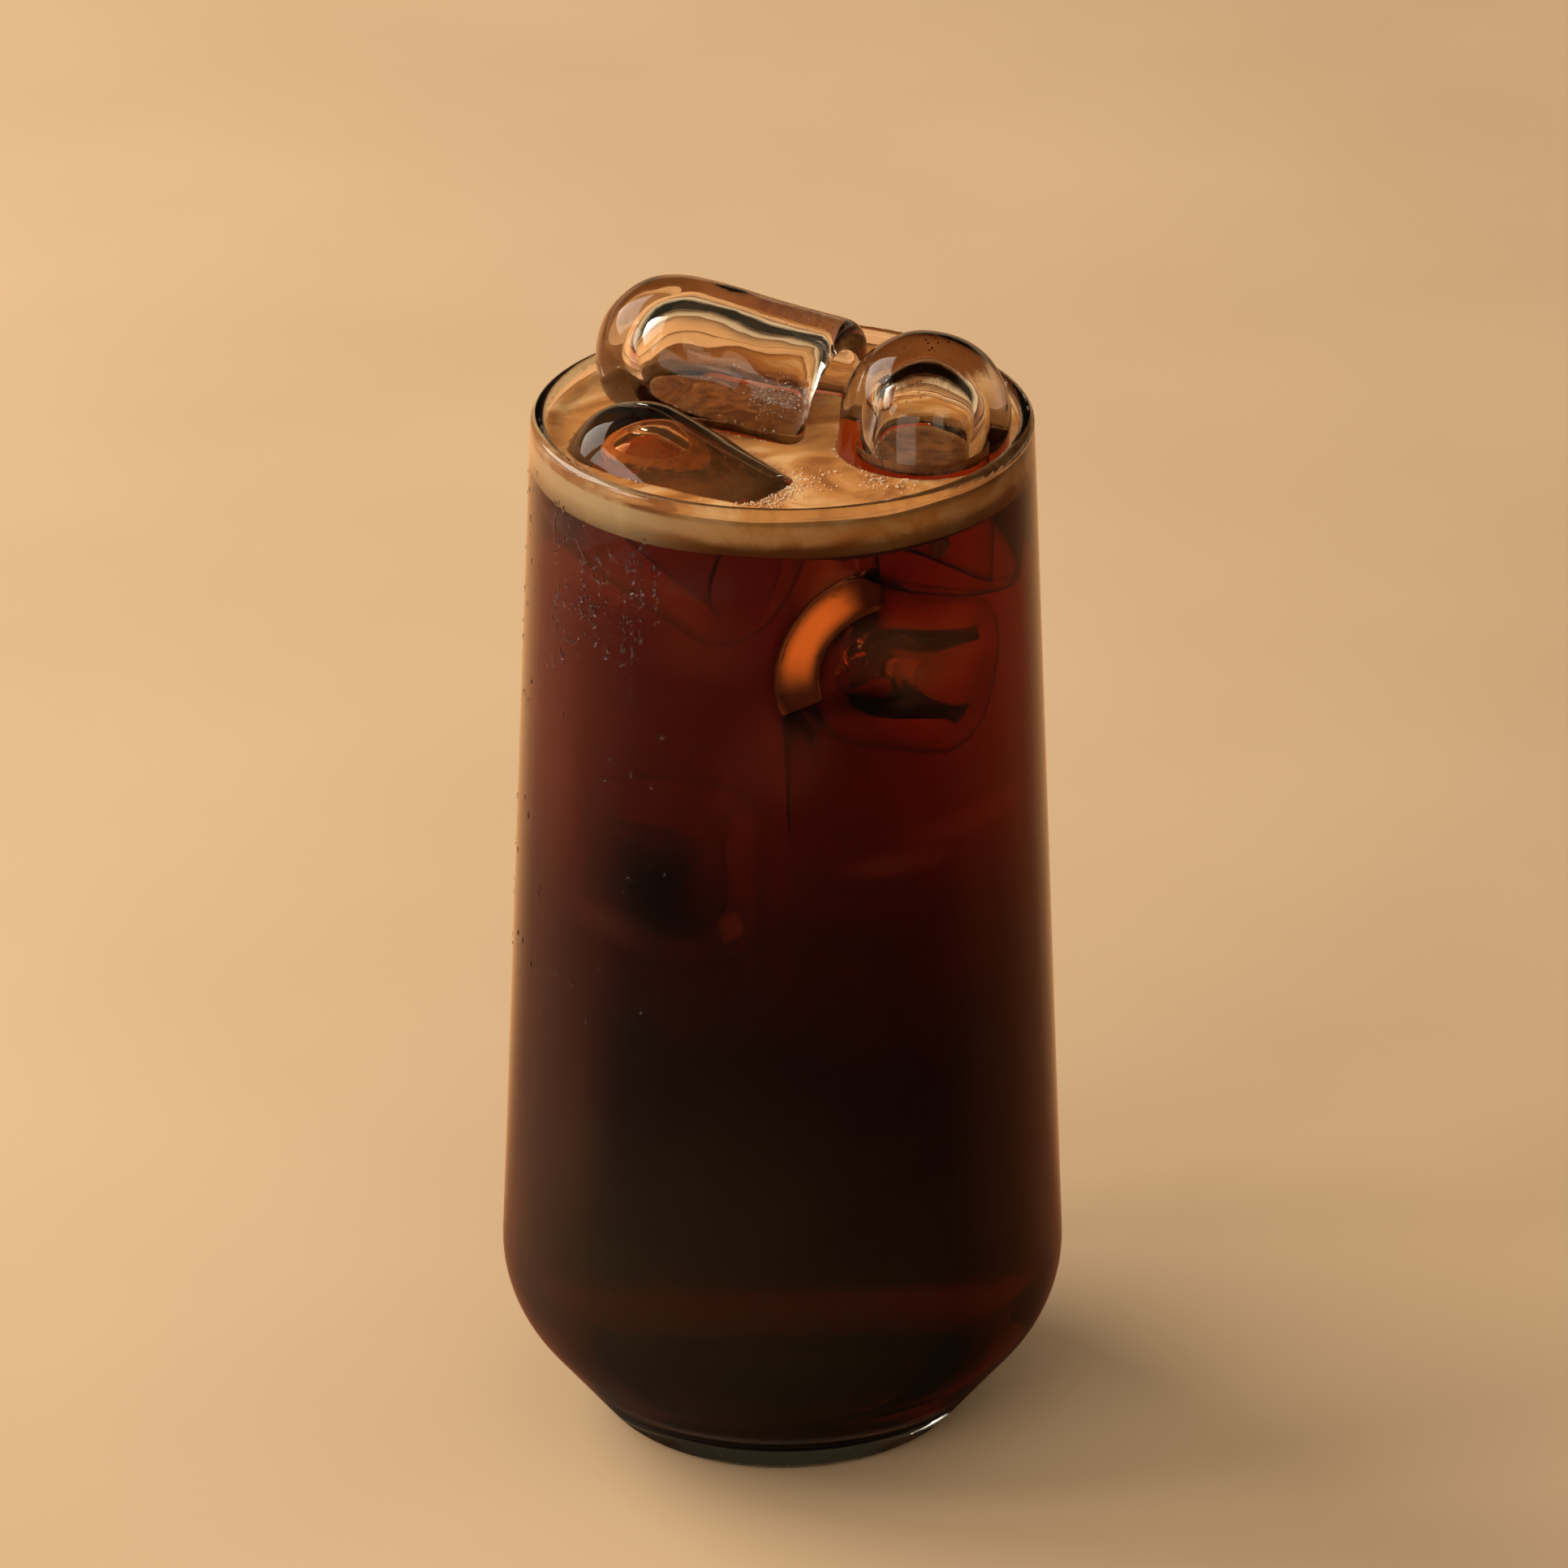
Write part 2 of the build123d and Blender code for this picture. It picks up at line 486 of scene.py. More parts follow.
def crema_material():
    """Pale foam in soft swirls, browner round and inside the ice. Its side at the glass has painted light,
    most on the left, and painted shade along its lower edge.
    """
    material, tree, shader = new_material("crema_foam")
    where = position(tree)
    swirl = noise_at(tree, where, 75, 5, 1.4, 0.55)
    streak = noise_at(tree, where, 240, 4, 2.2, 0.6)
    colour = ramp(tree, swirl, [(0.33, CREMA_TAN), (0.48, CREMA_GOLD), (0.64, CREMA_PALE)])
    streaks = ramp(tree, streak, [(0.35, (0.17, 0.035, 0.005)), (0.7, (0.46, 0.14, 0.025))])
    back = near(tree, where, (-8 * MM, 21 * MM), 11 * MM, 6 * MM)
    colour = mixed(tree, product(tree, back, 0.9), colour, CREMA_BACK)
    wobble = span(tree, swirl, 0.3, 0.7, 1.0, 0.75)
    for node, reach, soft, most in STAINS:
        low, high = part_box(node)
        middle = ((low.x + high.x) / 2, (low.y + high.y) / 2)
        spot = near(tree, where, middle, reach * MM, soft * MM)
        colour = mixed(tree, product(tree, spot, wobble, most), colour, streaks)
    height, across = axis_of(tree, where, "Z"), axis_of(tree, where, "X")
    # painted light: the foam's side at the glass is lighter than its top, most of all on the left
    rim = span(tree, reach_of(tree, where), 28.5 * MM, 29.5 * MM, 0.0, 0.85)
    side = product(tree, rim, span(tree, height, LEVEL - 0.6 * MM, LEVEL - 0.1 * MM, 1.0, 0.0))
    side_swirl = mixed(tree, span(tree, swirl, 0.4, 0.6), SIDE_DEEP, SIDE_PALE)
    side_painted_light = mixed(tree, span(tree, across, -22 * MM, -4 * MM), SIDE_LIT_LEFT, side_swirl)
    colour = mixed(tree, side, colour, side_painted_light)
    # painted shade: the lower edge of the foam's side is darker, except on its left where the light falls
    wavy = uneven_height(tree, where, swirl, 0.5 * MM)
    low_shade = span(tree, wavy, FOAM_BOTTOM + 1.2 * MM, FOAM_BOTTOM + 2.6 * MM, 1.0, 0.0)
    from_left = span(tree, across, -21 * MM, -7 * MM)
    to_right = span(tree, across, 2 * MM, 18 * MM, 1.0, 0.45)
    colour = mixed(tree, product(tree, low_shade, from_left, to_right), colour, CREMA_LOW_SHADE)
    tree.links.new(colour, shader.inputs["Base Color"])
    shader.inputs["Roughness"].default_value = 0.5
    shader.inputs["Specular IOR Level"].default_value = 0.25
    bumped(tree, shader, noise_at(tree, where, 1800, 3), 0.06 * MM, 0.4)
    return material


def froth_material():
    """Pale, fine-grained bubbles of foam."""
    material, tree, shader = new_material("froth")
    where = position(tree)
    grain = noise_at(tree, where, 500, 3)
    colour = ramp(tree, grain, [(0.35, (0.72, 0.42, 0.2)), (0.65, (0.93, 0.7, 0.46))])
    tree.links.new(colour, shader.inputs["Base Color"])
    shader.inputs["Roughness"].default_value = 0.25
    bumped(tree, shader, noise_at(tree, where, 3000, 2), 0.03 * MM, 0.5)
    return material


ICE_TINT, STAIN, FILM = (1.0, 0.965, 0.88), (0.14, 0.05, 0.02), (0.8, 0.34, 0.11)


def ice_material(name, mirror=1.0, stain_from=None, film_to=None):
    """Clear ice. Under the drink its surface hardly mirrors, since ice and coffee bend light alike.

    The coffee may have stained it brown from a height up, or left a thin film on it up to a height."""
    material, tree, shader = new_material(name)
    clear_shader(shader, ICE_BEND, ICE_TINT)
    shader.inputs["Specular Tint"].default_value = (mirror, mirror, mirror, 1)
    where = position(tree)
    frost = noise_at(tree, where, 160, 5, 1.5, 0.65)
    if stain_from is not None:
        height = uneven_height(tree, where, frost, 1 * MM)
        share = span(tree, height, stain_from, stain_from + 2 * MM)
        tree.links.new(mixed(tree, share, ICE_TINT, STAIN), shader.inputs["Base Color"])
    if film_to is not None:
        height = uneven_height(tree, where, frost, 1 * MM)
        film = span(tree, height, film_to - 6 * MM, film_to, 0.85, 0.0)
        tree.links.new(mixed(tree, product(tree, film, 4), ICE_TINT, FILM), shader.inputs["Base Color"])
        clear = math_node(tree, "SUBTRACT", 1, product(tree, film, 0.12))
        tree.links.new(clear, shader.inputs["Transmission Weight"])
    tree.links.new(span(tree, frost, 0.6, 0.8, 0.0, 0.12), shader.inputs["Roughness"])
    bumped(tree, shader, noise_at(tree, where, 130, 2, 0.4), 0.6 * MM, 0.12)
    return material


def sunk_material(name, low, high):
    """Ice under the surface, soft at its edges because the coffee round it is a little cloudy."""
    material, tree, shader = new_material(name)
    clear_shader(shader, SUNK_BEND, (1.0, 0.98, 0.95))
    cloud = noise_at(tree, position(tree), 120, 4, 1.0)
    tree.links.new(span(tree, cloud, 0.3, 0.7, low, high), shader.inputs["Roughness"])
    return material


def water_material():
    """Drops of clear water."""
    material, tree, shader = new_material("water_drops")
    clear_shader(shader, DRINK_BEND)
    grain = noise_at(tree, position(tree), 900, 2)
    tree.links.new(span(tree, grain, 0.4, 0.7, 0.0, 0.08), shader.inputs["Roughness"])
    return material


# ---------------------------------------------------------------- pieces

def make_ice(node, seed):
    """A melted copy of a CAD piece of ice, with even faces and a wavy surface."""
    mesh = remeshed(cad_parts[node].data, ICE_VOXEL, 6)
    shift = Vector((seed, 0, 0))
    return pushed(mesh, lambda p: 0.22 * MM * noise.noise(p * 170 + shift))


def cutter_of(mesh):
    """The same piece, a little smaller, so that the drink reaches into it."""
    return pushed(mesh.copy(), lambda p: -INTO_ICE)


def bullet(tip_radius, mouth_radius, length, wall, tip_wall, hollow_only=False):
    """The outline of hollow ice, with a round end at the origin and its mouth up Z, or of its hollow."""
    quarter = [math.radians(a) for a in range(10, 91, 10)]
    outer = [(tip_radius * math.sin(a), tip_radius * (1 - math.cos(a))) for a in quarter]
    outer.append((mouth_radius, length - 1.5 * MM))
    inside = tip_radius - wall
    inner = [(inside * math.sin(a), tip_wall + inside * (1 - math.cos(a))) for a in quarter]
    if hollow_only:
        return [(0, tip_wall)] + inner + [(mouth_radius - wall, length - 2 * MM), (0, length - 2.6 * MM)]
    rim = [(mouth_radius - 1.2 * MM, length), (mouth_radius - wall, length - 0.4 * MM)]
    return [(0, 0)] + outer + rim + inner[::-1] + [(0, tip_wall)]


def placed(mesh, tip, towards):
    """A mesh moved so that its origin is at tip and its Z axis points towards a direction."""
    turn = Vector(towards).to_track_quat("Z", "Y").to_matrix().to_4x4()
    mesh.transform(Matrix.Translation(Vector(tip) * MM) @ turn)
    return mesh


# The sheet of ice behind the bright arc, in mm and degrees. It runs from the front of the drink
# to just inside the back wall, and gets lower and narrower on its way.
SHEET_HALF_WIDTH, SHEET_HALF_ANGLE, SHEET_STEP = 2.9, 54, 6
# how far its front is from the model's axis, and how far its back reaches into the wall
SHEET_FRONT, SHEET_INTO_BACK = 31.2, 1.2
# how much lower it gets for each mm of depth, and about how much in all
SHEET_DROP, SHEET_BACK_DROP = 0.34, 20
# the share by which it narrows for each mm of depth, and about how much is left at the back
SHEET_NARROWING, SHEET_BACK_WIDTH = 0.0075, 0.54
# share of the way to the back, and how much of its thickness it has there
SHEET_STATIONS = ((0.02, 0.8), (0.035, 1.0), (1.0, 1.0))


def sheet_corner(radius, angle, along, profile):
    """A spot on the sheet, at an angle round the arc and a share of the way to the back wall."""
    x, z = ARC_CENTRE[0] + radius * math.cos(angle), ARC_CENTRE[1] + radius * math.sin(angle)
    front = -math.sqrt(SHEET_FRONT ** 2 - x * x)
    wall = radius_at(profile, (z - SHEET_BACK_DROP) * MM) / MM
    back = math.sqrt((wall + SHEET_INTO_BACK) ** 2 - (SHEET_BACK_WIDTH * x) ** 2)
    deep = along * (back - front)
    return Vector((x * (1 - SHEET_NARROWING * deep), front + deep, z - SHEET_DROP * deep)) * MM


def curved_sheet():
    """A curved sheet of ice, which carries light through the drink from the back wall to the bright arc."""
    profile = side_profile("coffee")
    swing = range(-SHEET_HALF_ANGLE, SHEET_HALF_ANGLE + 1, SHEET_STEP)
    angles = [math.radians(ARC_ANGLE + a) for a in swing]
    corners, faces = [], []
    for along, share in SHEET_STATIONS:
        half = share * SHEET_HALF_WIDTH
        corners += [sheet_corner(ARC_RADIUS + half, a, along, profile) for a in angles]
        corners += [sheet_corner(ARC_RADIUS - half, a, along, profile) for a in angles[::-1]]
    count = 2 * len(angles)
    end = count * (len(SHEET_STATIONS) - 1)
    for k in range(len(angles) - 1):
        quad = (k, k + 1, count - 2 - k, count - 1 - k)
        faces += [quad, tuple(end + c for c in quad[::-1])]
    for ring in range(0, end, count):
        for k in range(count):
            after = (k + 1) % count
            faces.append((ring + k, ring + count + k, ring + count + after, ring + after))
    mesh = mesh_from("curved_sheet", corners, faces)
    shape = bmesh.new()
    shape.from_mesh(mesh)
    bmesh.ops.recalc_face_normals(shape, faces=shape.faces)
    shape.to_mesh(mesh)
    shape.free()
    return mesh


# how thick the sunk ice is at its side and at its round end, in mm
SUNK_WALL, SUNK_TIP_WALL = 4.2, 5.0
SUNK_BULLETS = (
    # round end, direction of its mouth, tip radius, mouth radius and length in mm, and whether it holds air
    ((2.5, -18.5, 118.0), (0.8, 0.5, -0.3), (10.2, 10.4, 22.0), True),
    ((-11.8, -15.6, 73.5), (-0.05, -0.05, 1.0), (10.4, 11.0, 24.0), False),
)


def make_sunk_ice():
    """The sunk pieces of ice and the sheet, which don't overlap, and the pocket of air in one of them."""
    meshes, air = [], []
    for tip, towards, outside, holds_air in SUNK_BULLETS:
        sizes = [v * MM for v in (*outside, SUNK_WALL, SUNK_TIP_WALL)]
        meshes.append(placed(revolved("bullet", bullet(*sizes), BULLET_TURNS), tip, towards))
        if holds_air:
            pocket = revolved("pocket", bullet(*sizes, hollow_only=True), BULLET_TURNS)
            air.append(pushed(placed(pocket, tip, towards), lambda p: 0.35 * MM))
    whole = remeshed(joined("sunk", meshes), 0.6 * MM, 8)
    whole = pushed(whole, lambda p: 0.3 * MM * noise.noise(p * 150 + Vector((4, 9, 2))))
    sheet = remeshed(curved_sheet(), 0.5 * MM, 4)
    return carved(whole, [cutter_of(sheet)]), sheet, air


def make_coffee(material, cutters):
    """The drink, which reaches just into the glass all round and ends a little way up in the foam."""
    profile = side_profile("coffee")
    surface = LEVEL - 0.9 * MM
    rings = []
    for radius, height in profile:
        if height < surface:
            sunk = INTO_WALL if height < 10 * MM else 0
            rings.append((radius + INTO_WALL * min(1, radius / (10 * MM)), height - sunk))
    rings += [(radius_at(profile, surface) + INTO_WALL, surface), (0, surface)]
    return add_object("coffee_drink", carved(revolved("coffee_drink", rings), cutters), material)


CREMA_RINGS = 40
# how thick the foam is away from the glass
CREMA_THIN = 1.3 * MM


def crema_top(spot, inwards):
    """The height of the foam's top: faint ripples, and a rim where it clings to the glass."""
    ripple = noise.noise(spot * 120 + Vector((8, 2, 4)))
    rise = max(0, 1 - inwards / (2.2 * MM)) ** 2
    return LEVEL + (-0.2 + 0.22 * ripple + 0.5 * rise) * MM


def crema_underside(spot, inwards):
    """The height of the foam's underside: thin in the middle, full and wavy at the glass."""
    wave = noise.noise(spot * 55 + Vector((3, 1, 7)))
    edge = min(1, max(0, (6 * MM - inwards) / (4.5 * MM)))
    full = LEVEL - CREMA_THIN - FOAM_BOTTOM
    return LEVEL - CREMA_THIN - edge * edge * (3 - 2 * edge) * (full - (0.1 + 0.9 * wave) * MM)


def make_crema(material, cutters):
    """The layer of foam, cut round the ice."""
    wall = radius_at(side_profile("crema"), LEVEL) + 1.1 * INTO_WALL
    corners, faces = [], []
    for height_at in (crema_top, crema_underside):
        for ring in range(1, CREMA_RINGS + 1):
            radius = wall * ring / CREMA_RINGS
            for k in range(TURNS):
                angle = 2 * math.pi * k / TURNS
                spot = Vector((radius * math.cos(angle), radius * math.sin(angle), 0))
                corners.append((spot.x, spot.y, height_at(spot, wall - radius)))
    count = CREMA_RINGS * TURNS
    corners += [(0, 0, LEVEL - 0.2 * MM), (0, 0, LEVEL - CREMA_THIN)]
    for start, centre, turn in ((0, 2 * count, 1), (count, 2 * count + 1, -1)):
        for k in range(TURNS):
            after = (k + 1) % TURNS
            faces.append((centre, start + k, start + after)[::turn])
            for ring in range(CREMA_RINGS - 1):
                a, b = start + ring * TURNS, start + (ring + 1) * TURNS
                faces.append((a + k, b + k, b + after, a + after)[::turn])
    edge = (CREMA_RINGS - 1) * TURNS
    for k in range(TURNS):
        after = (k + 1) % TURNS
        faces.append((edge + k, count + edge + k, count + edge + after, edge + after))
    return add_object("crema_layer", carved(mesh_from("crema_layer", corners, faces), cutters), material)


# the front piece of ice: the way its hollow opens, and its sizes as for a bullet, in mm
FRONT_TURN, FRONT_DIP = math.radians(-43), math.radians(14)
FRONT_SIZES = (10.5, 11.4, 21.5, 4.3, 5.2)


def make_hollow_foam(material):
    """The foam that fills the hollow of the front ice, up to the level of the drink."""
    low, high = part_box("ice_front")
    level = math.cos(FRONT_DIP)
    aim = Vector((level * math.cos(FRONT_TURN), level * math.sin(FRONT_TURN), -math.sin(FRONT_DIP)))
    tip = (low + high) / 2 / MM - FRONT_SIZES[2] / 2 * aim
    sizes = [v * MM for v in FRONT_SIZES]
    mesh = placed(revolved("hollow_foam", bullet(*sizes, hollow_only=True), BULLET_TURNS), tip, aim)
    mesh = pushed(mesh, lambda p: 0.25 * MM)
    for v in mesh.vertices:
        v.co.z = max(min(v.co.z, LEVEL + 0.15 * MM * noise.noise(v.co * 300)), LEVEL - 3.5 * MM)
    return add_object("hollow_foam", mesh, material)


def tree_of(mesh):
    """A search tree over a mesh's faces."""
    corners = [v.co.copy() for v in mesh.vertices]
    return BVHTree.FromPolygons(corners, [tuple(p.vertices) for p in mesh.polygons])


def depth_in(tree, spot):
    """How deep a spot is inside a closed mesh, or a negative distance outside it."""
    found, normal, _, gap = tree.find_nearest(spot)
    return gap if (spot - found).dot(normal) < 0 else -gap


FIZZ = {
    # clouds of bubbles: centre and spread in mm, how many, smallest and largest radius in mm
    "ice_back": (
        ((-1.0, -2.2, 146.6), (5.0, 1.6, 2.6), 420, 0.03, 0.12),
        ((5.0, 8.0, 152.6), (5.0, 3.0, 1.4), 220, 0.03, 0.11),
        ((-9.0, 9.0, 155.0), (6.0, 3.0, 0.9), 26, 0.04, 0.12),
        ((-22.0, 10.0, 146.0), (2.0, 4.0, 3.0), 10, 0.06, 0.16),
    ),
    "ice_front": (
        ((-5.0, -17.5, 141.0), (4.0, 4.0, 1.5), 60, 0.06, 0.2),
        ((-14.0, -15.0, 142.0), (6.0, 4.0, 1.5), 14, 0.05, 0.15),
    ),
    "ice_right": (
        ((17.0, -9.0, 149.5), (4.0, 3.0, 2.0), 30, 0.05, 0.15),
        ((19.0, -4.0, 153.5), (4.0, 4.0, 1.4), 24, 0.05, 0.16),
    ),
}


def fizz_in(node, mesh, chance):
    """Tiny bubbles frozen into a piece of ice."""
    tree, spots = tree_of(mesh), []
    for centre, spread, count, small, large in FIZZ[node]:
        for _ in range(count):
            spot = Vector(chance.gauss(c, s / 2) for c, s in zip(centre, spread)) * MM
            radius = chance.uniform(small, large) * MM
            if depth_in(tree, spot) > radius + 0.15 * MM:
                spots.append(sphere_at(spot, radius))
    return balls("fizz", spots, inward=True)


HEAPS = (
    # x, y and spread of a heap of bubbles in mm, and how many bubbles
    (-2.6, -20.6, 2.0, 900),
    (-6.5, -19.4, 1.3, 200),
    (3.0, -17.0, 2.2, 90),
    (12.5, -17.5, 2.0, 120),
)
STRAY_BUBBLES, MOST_BUBBLES = 9000, 2400


def make_froth(material, trees, chance):
    """Fine bubbles of foam gathered round the ice and along the glass."""
    wall = radius_at(side_profile("crema"), LEVEL)
    tries, places = [], []
    for x, y, spread, count in HEAPS:
        for _ in range(count):
            spot = Vector((x + chance.gauss(0, spread), y + chance.gauss(0, spread), 0)) * MM
            tries.append((spot, True))
    for _ in range(STRAY_BUBBLES):
        angle, radius = chance.uniform(0, 2 * math.pi), wall * math.sqrt(chance.random())
        tries.append((Vector((radius * math.cos(angle), radius * math.sin(angle), 0)), False))
    for spot, heap in tries:
        spot.z = LEVEL - 0.2 * MM
        radius = chance.uniform(0.05, 0.2 if heap else 0.15) * MM
        gap = min(-depth_in(tree, spot) for tree in trees)
        edge = wall - math.hypot(spot.x, spot.y)
        if gap < 0.05 * MM or edge < 0.2 * MM:
            continue
        if heap or gap < chance.uniform(0.1, 0.7) * MM or edge < chance.uniform(0.2, 0.5) * MM:
            lift = Vector((0, 0, chance.uniform(-0.1, 0.2 if heap else 0.05) * MM))
            places.append(sphere_at(spot + lift, radius))
    return add_object("froth", balls("froth", places[:MOST_BUBBLES]), material)


# which way the dab of foam lies from the axis, its height, and how many balls it is made of
FLECK_ANGLE, FLECK_HEIGHT, FLECK_BALLS = math.atan2(-24.7, 21.0), 134.6 * MM, 30


def make_fleck(material, chance):
    """A dab of foam that clings to the glass just under the surface."""
    profile = side_profile("coffee")
    places = []
    for _ in range(FLECK_BALLS):
        height = FLECK_HEIGHT + chance.uniform(-1.1, 1.1) * MM
        turn = FLECK_ANGLE + chance.uniform(-1.3, 1.3) * MM / (30 * MM)
        radius = chance.uniform(0.3, 0.55) * MM
        reach = radius_at(profile, height) - radius - 1.0 * MM
        places.append(sphere_at((reach * math.cos(turn), reach * math.sin(turn), height), radius))
    return add_object("foam_fleck", remeshed(balls("fleck", places), 0.22 * MM, 3), material)


RUNS, DROPS_PER_RUN, STRAY_DROPS = 34, 9, 260


def make_condensation(material, chance):
    """Fine drops on the outside of the glass, mostly in upright runs high on its left side."""
    profile = side_profile("glass")
    runs = [(chance.uniform(-152, -118), chance.uniform(122, 139)) for _ in range(RUNS)]
    drops = []
    for turn, top in runs:
        for _ in range(DROPS_PER_RUN):
            drops.append((turn + chance.gauss(0, 0.5), top - chance.uniform(0, 9)))
    drops += [(chance.uniform(-235, -115), chance.uniform(60, 139)) for _ in range(STRAY_DROPS)]
    places = []
    for turn, height in drops:
        angle, size = math.radians(turn), chance.uniform(0.09, 0.3) * MM
        reach = radius_at(profile, height * MM)
        shape = Matrix.Diagonal((0.4 * size, size, chance.uniform(1.0, 2.1) * size, 1))
        spot = (reach * math.cos(angle), reach * math.sin(angle), height * MM)
        places.append(Matrix.Translation(spot) @ Matrix.Rotation(angle, 4, "Z") @ shape)
    return add_object("condensation", balls("condensation", places), material)


# ---------------------------------------------------------------- stage

FLOOR_PALE, FLOOR_DEEP = (0.77, 0.53, 0.31), (0.71, 0.48, 0.27)
FLOOR_HALF = 3.0
# what glossy surfaces show of the floor, from behind the drink round to its front: share of the way
# and colour
FLOOR_MIRRORED = (
    (0.14, (0.9, 0.46, 0.19)),
    (0.33, (0.42, 0.135, 0.045)),
    (0.5, (0.3, 0.085, 0.026)),
    (0.68, (0.05, 0.03, 0.015)),
)
FLOOR_BENT = (0.78, 0.47, 0.2)
ROOM_LIGHT, ROOM_DARK = (0.42, 0.37, 0.31), (0.025, 0.02, 0.012)
LAMP_WARM = (1.0, 0.92, 0.82)


def make_stage():
    """A plain pale floor. Glass and ice show it dimmer in front and far away, as in a dark room."""
    material, tree, shader = new_material("pale_floor")
    where = position(tree)
    colour = ramp(tree, noise_at(tree, where, 6, 3), [(0.3, FLOOR_DEEP), (0.7, FLOOR_PALE)])
    x, y = axis_of(tree, where, "X"), axis_of(tree, where, "Y")
    rays = add(tree, "ShaderNodeLightPath")
    turn = math_node(tree, "ARCTAN2", math_node(tree, "ABSOLUTE", x, 0), y)
    mirrored = ramp(tree, math_node(tree, "DIVIDE", turn, math.pi), FLOOR_MIRRORED)
    mirrored = mixed(tree, span(tree, x, -0.1, 0.1, 1.0, 0.8), (0, 0, 0), mirrored)
    far = span(tree, reach_of(tree, where), 0.4, 0.8, 1.0, 0.05)
    bent = mixed(tree, far, (0, 0, 0), FLOOR_BENT)
    colour = mixed(tree, rays.outputs["Is Transmission Ray"], colour, bent)
    colour = mixed(tree, rays.outputs["Is Glossy Ray"], colour, mirrored)
    tree.links.new(colour, shader.inputs["Base Color"])
    shader.inputs["Roughness"].default_value = 0.7
    corners = [(x * FLOOR_HALF, y * FLOOR_HALF, 0) for x, y in ((-1, -1), (1, -1), (1, 1), (-1, 1))]
    add_object("floor", mesh_from("floor", corners, [(0, 1, 2, 3)]), material)


def add_lamp(name, direction, distance, size, power, mirrored=True):
    """A soft panel that faces the drink from a direction. It may be left out of reflections."""
    lamp = bpy.data.lights.new(name, "AREA")
    lamp.shape = "RECTANGLE"
    lamp.size, lamp.size_y = size
    lamp.energy = power
    lamp.color = LAMP_WARM
    panel = bpy.data.objects.new(name, lamp)
    aim = Vector((0, 0, HEIGHT * 0.8))
    panel.location = aim + Vector(direction).normalized() * distance
    panel.rotation_euler = (aim - panel.location).to_track_quat("-Z", "Y").to_euler()
    panel.visible_glossy = mirrored
    bpy.context.scene.collection.objects.link(panel)


def make_light():
    """Two soft windows at the upper left and a plain fill. Glass and ice show a room dark overhead."""
    world = bpy.data.worlds.new("studio")
    world.use_nodes = True
    tree = world.node_tree
    rays = add(tree, "ShaderNodeLightPath")
    where = add(tree, "ShaderNodeTexCoord").outputs["Generated"]
    lift = span(tree, axis_of(tree, where, "Z"), 0.0, 0.25)
    room = mixed(tree, lift, FLOOR_DEEP, ROOM_DARK)
    sharp = math_node(tree, "MAXIMUM", rays.outputs["Is Glossy Ray"], rays.outputs["Is Transmission Ray"])
    light = mixed(tree, sharp, ROOM_LIGHT, room)
    colour = mixed(tree, rays.outputs["Is Camera Ray"], light, FLOOR_PALE)
    back = tree.nodes["Background"]
    tree.links.new(colour, back.inputs["Color"])
    bpy.context.scene.world = world
    add_lamp("window_wide", (-0.74, 0.4, 0.56), 1.2, (0.85, 0.72), 11)
    add_lamp("fill", (-0.6, -0.75, 0.28), 1.6, (1.0, 0.8), 9, mirrored=False)
    add_lamp("window_narrow", (-0.83, -0.18, 0.5), 1.2, (0.26, 0.55), 3)


CAMERA_AIM, CAMERA_RISE, CAMERA_DISTANCE = Vector((0.0002, 0, 0.0903)), math.radians(25.65), 0.9256
CAMERA_LENS, CAMERA_SENSOR = 160.7, 36


def make_camera():
    """Eye level well above the rim, from the front, far off with a long lens."""
    data = bpy.data.cameras.new("camera")
    data.lens, data.sensor_width = CAMERA_LENS, CAMERA_SENSOR
    data.clip_start = 0.05
    camera = bpy.data.objects.new("camera", data)
    away = Vector((0, -math.cos(CAMERA_RISE), math.sin(CAMERA_RISE)))
    camera.location = CAMERA_AIM + CAMERA_DISTANCE * away
    camera.rotation_euler = (CAMERA_AIM - camera.location).to_track_quat("-Z", "Y").to_euler()
    bpy.context.scene.collection.objects.link(camera)
    bpy.context.scene.camera = camera
    bpy.context.scene.view_settings.view_transform = "Standard"


# ---------------------------------------------------------------- the scene

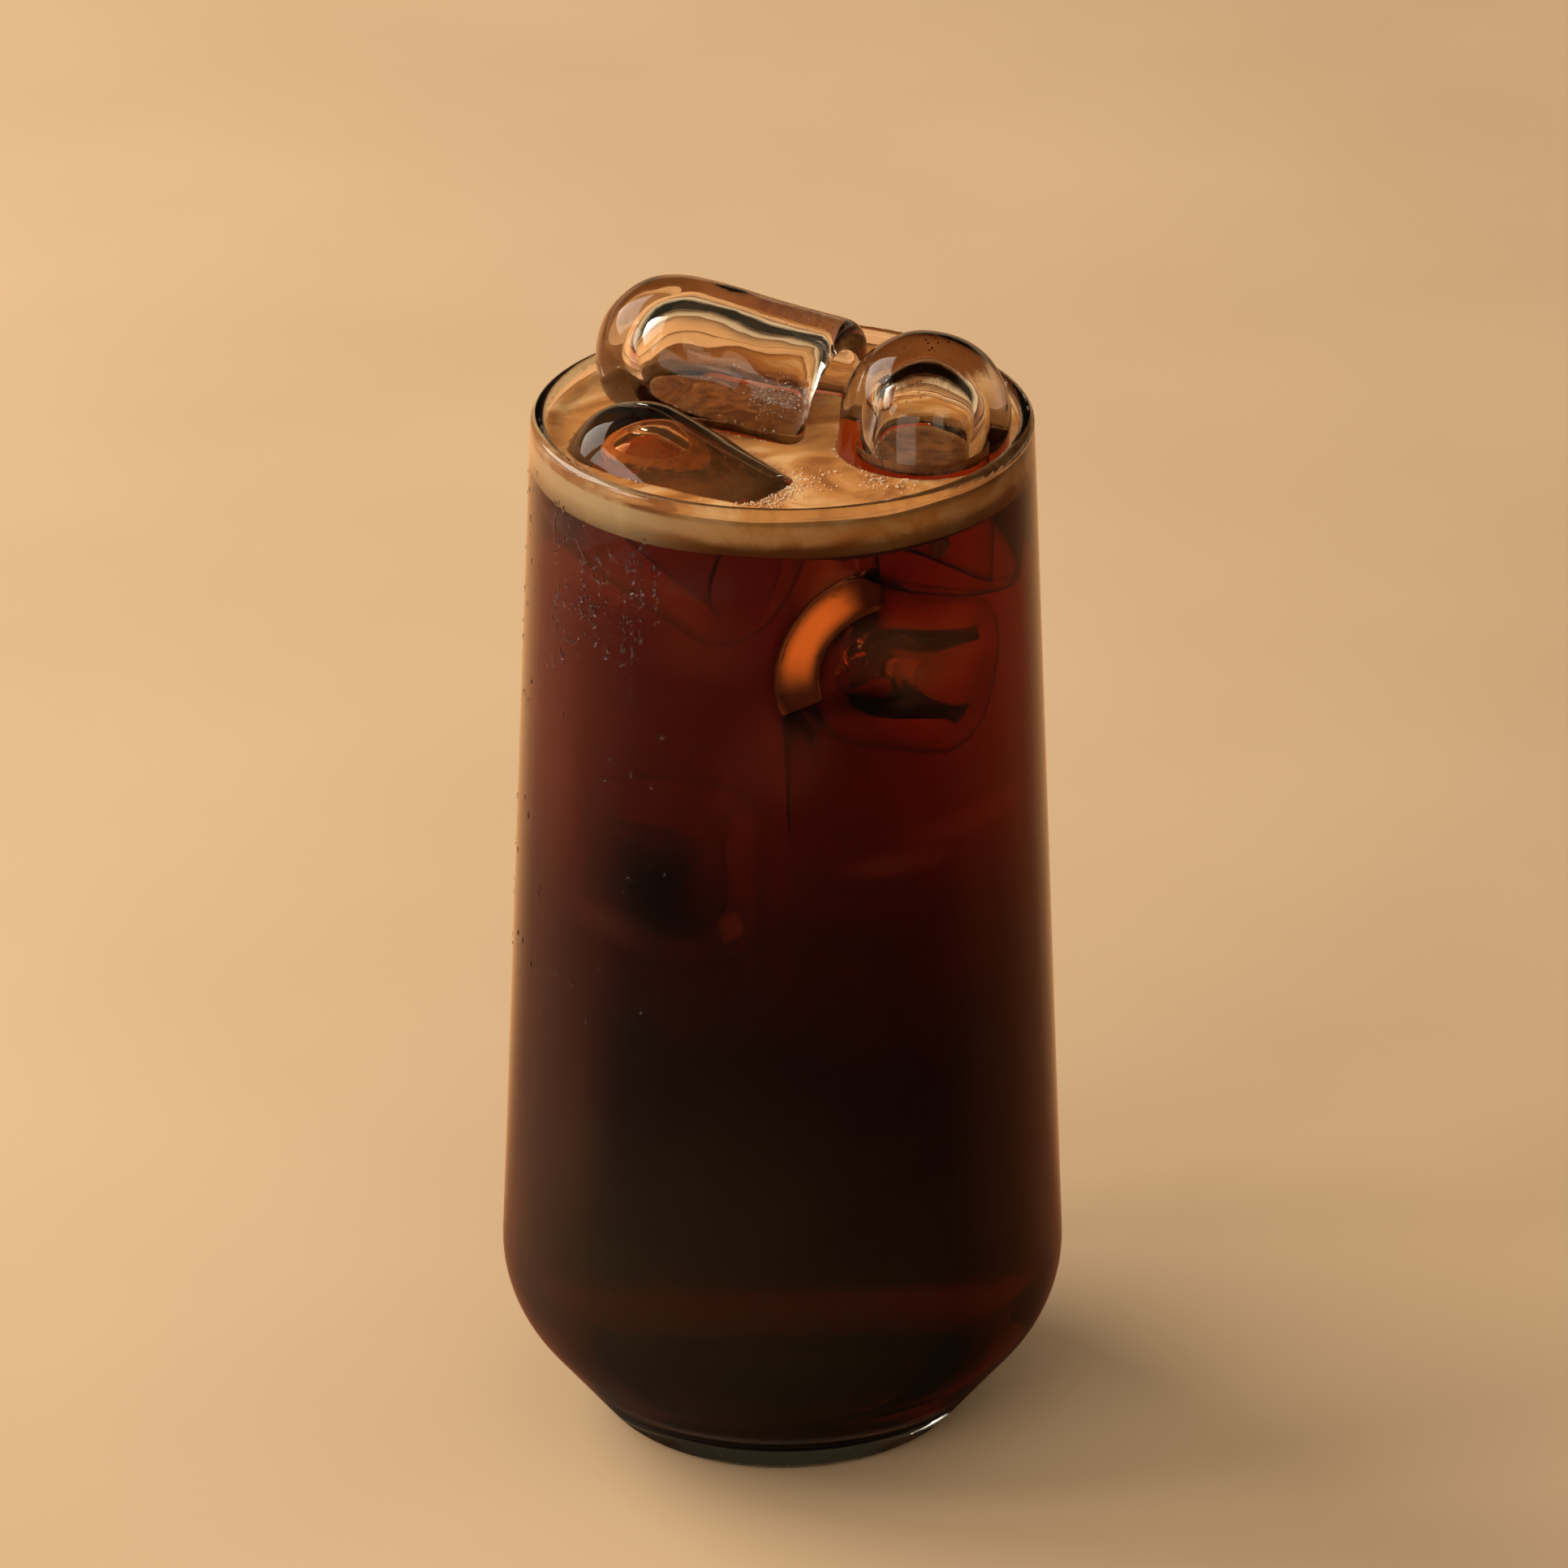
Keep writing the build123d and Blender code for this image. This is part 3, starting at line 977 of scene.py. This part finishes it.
def add_ice(meshes, chance):
    """The three pieces of ice that stand out of the drink, each with its own look."""
    wet_look = ice_material("wet_ice", mirror=0.06)
    looks = {
        "ice_back": ice_material("clear_ice"),
        "ice_front": ice_material("filmed_ice", film_to=LEVEL + 6 * MM),
        "ice_right": ice_material("stained_ice", stain_from=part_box("ice_right")[1].z - 4.5 * MM),
    }
    for node, mesh in meshes.items():
        mesh = joined(node, [mesh, fizz_in(node, mesh, chance)])
        piece = add_object(node + "_clear", mesh, looks[node])
        if node in DROWNED:
            mesh.materials.append(wet_look)
            for face in mesh.polygons:
                face.material_index = int(face.center.z < LEVEL - 0.7 * MM)
        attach(piece, "root")
        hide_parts(node)


def add_contents():
    """The drink, its foam and all the ice, and the drops on the glass."""
    chance = random.Random(7)
    ice_meshes = {node: make_ice(node, 10 * k) for k, node in enumerate(ICE_NODES)}
    cutters = [cutter_of(mesh) for mesh in ice_meshes.values()]
    sunk, sheet, air = make_sunk_ice()
    deep_cutters = [c.copy() for c in cutters] + [cutter_of(sunk), cutter_of(sheet)] + air
    foam, froth = crema_material(), froth_material()
    coffee = make_coffee(coffee_material(), deep_cutters)
    crema = make_crema(foam, [c.copy() for c in cutters])
    for piece, node in ((coffee, "coffee"), (crema, "crema")):
        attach(piece, "root")
        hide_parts(node)
    bubbles = make_froth(froth, [tree_of(mesh) for mesh in ice_meshes.values()], chance)
    fleck = make_fleck(froth, chance)
    drops = make_condensation(water_material(), chance)
    add_ice(ice_meshes, chance)
    sunk = add_object("sunk_ice", sunk, sunk_material("sunk_ice", 0.02, 0.12))
    sheet = add_object("sunk_sliver", sheet, sunk_material("sunk_sliver", 0.0, 0.08))
    plug = make_hollow_foam(foam)
    slots = {"ice": (sunk, sheet), "crema": (plug, bubbles, fleck), "glass": (drops,)}
    for slot, pieces in slots.items():
        for piece in pieces:
            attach(piece, "root")


def main():
    """Builds the whole scene."""
    make_camera()
    make_stage()
    make_light()
    cycles = bpy.context.scene.cycles
    cycles.max_bounces = cycles.transmission_bounces = 14
    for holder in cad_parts["glass"].material_slots:
        holder.material = glass_material()
    add_contents()


main()
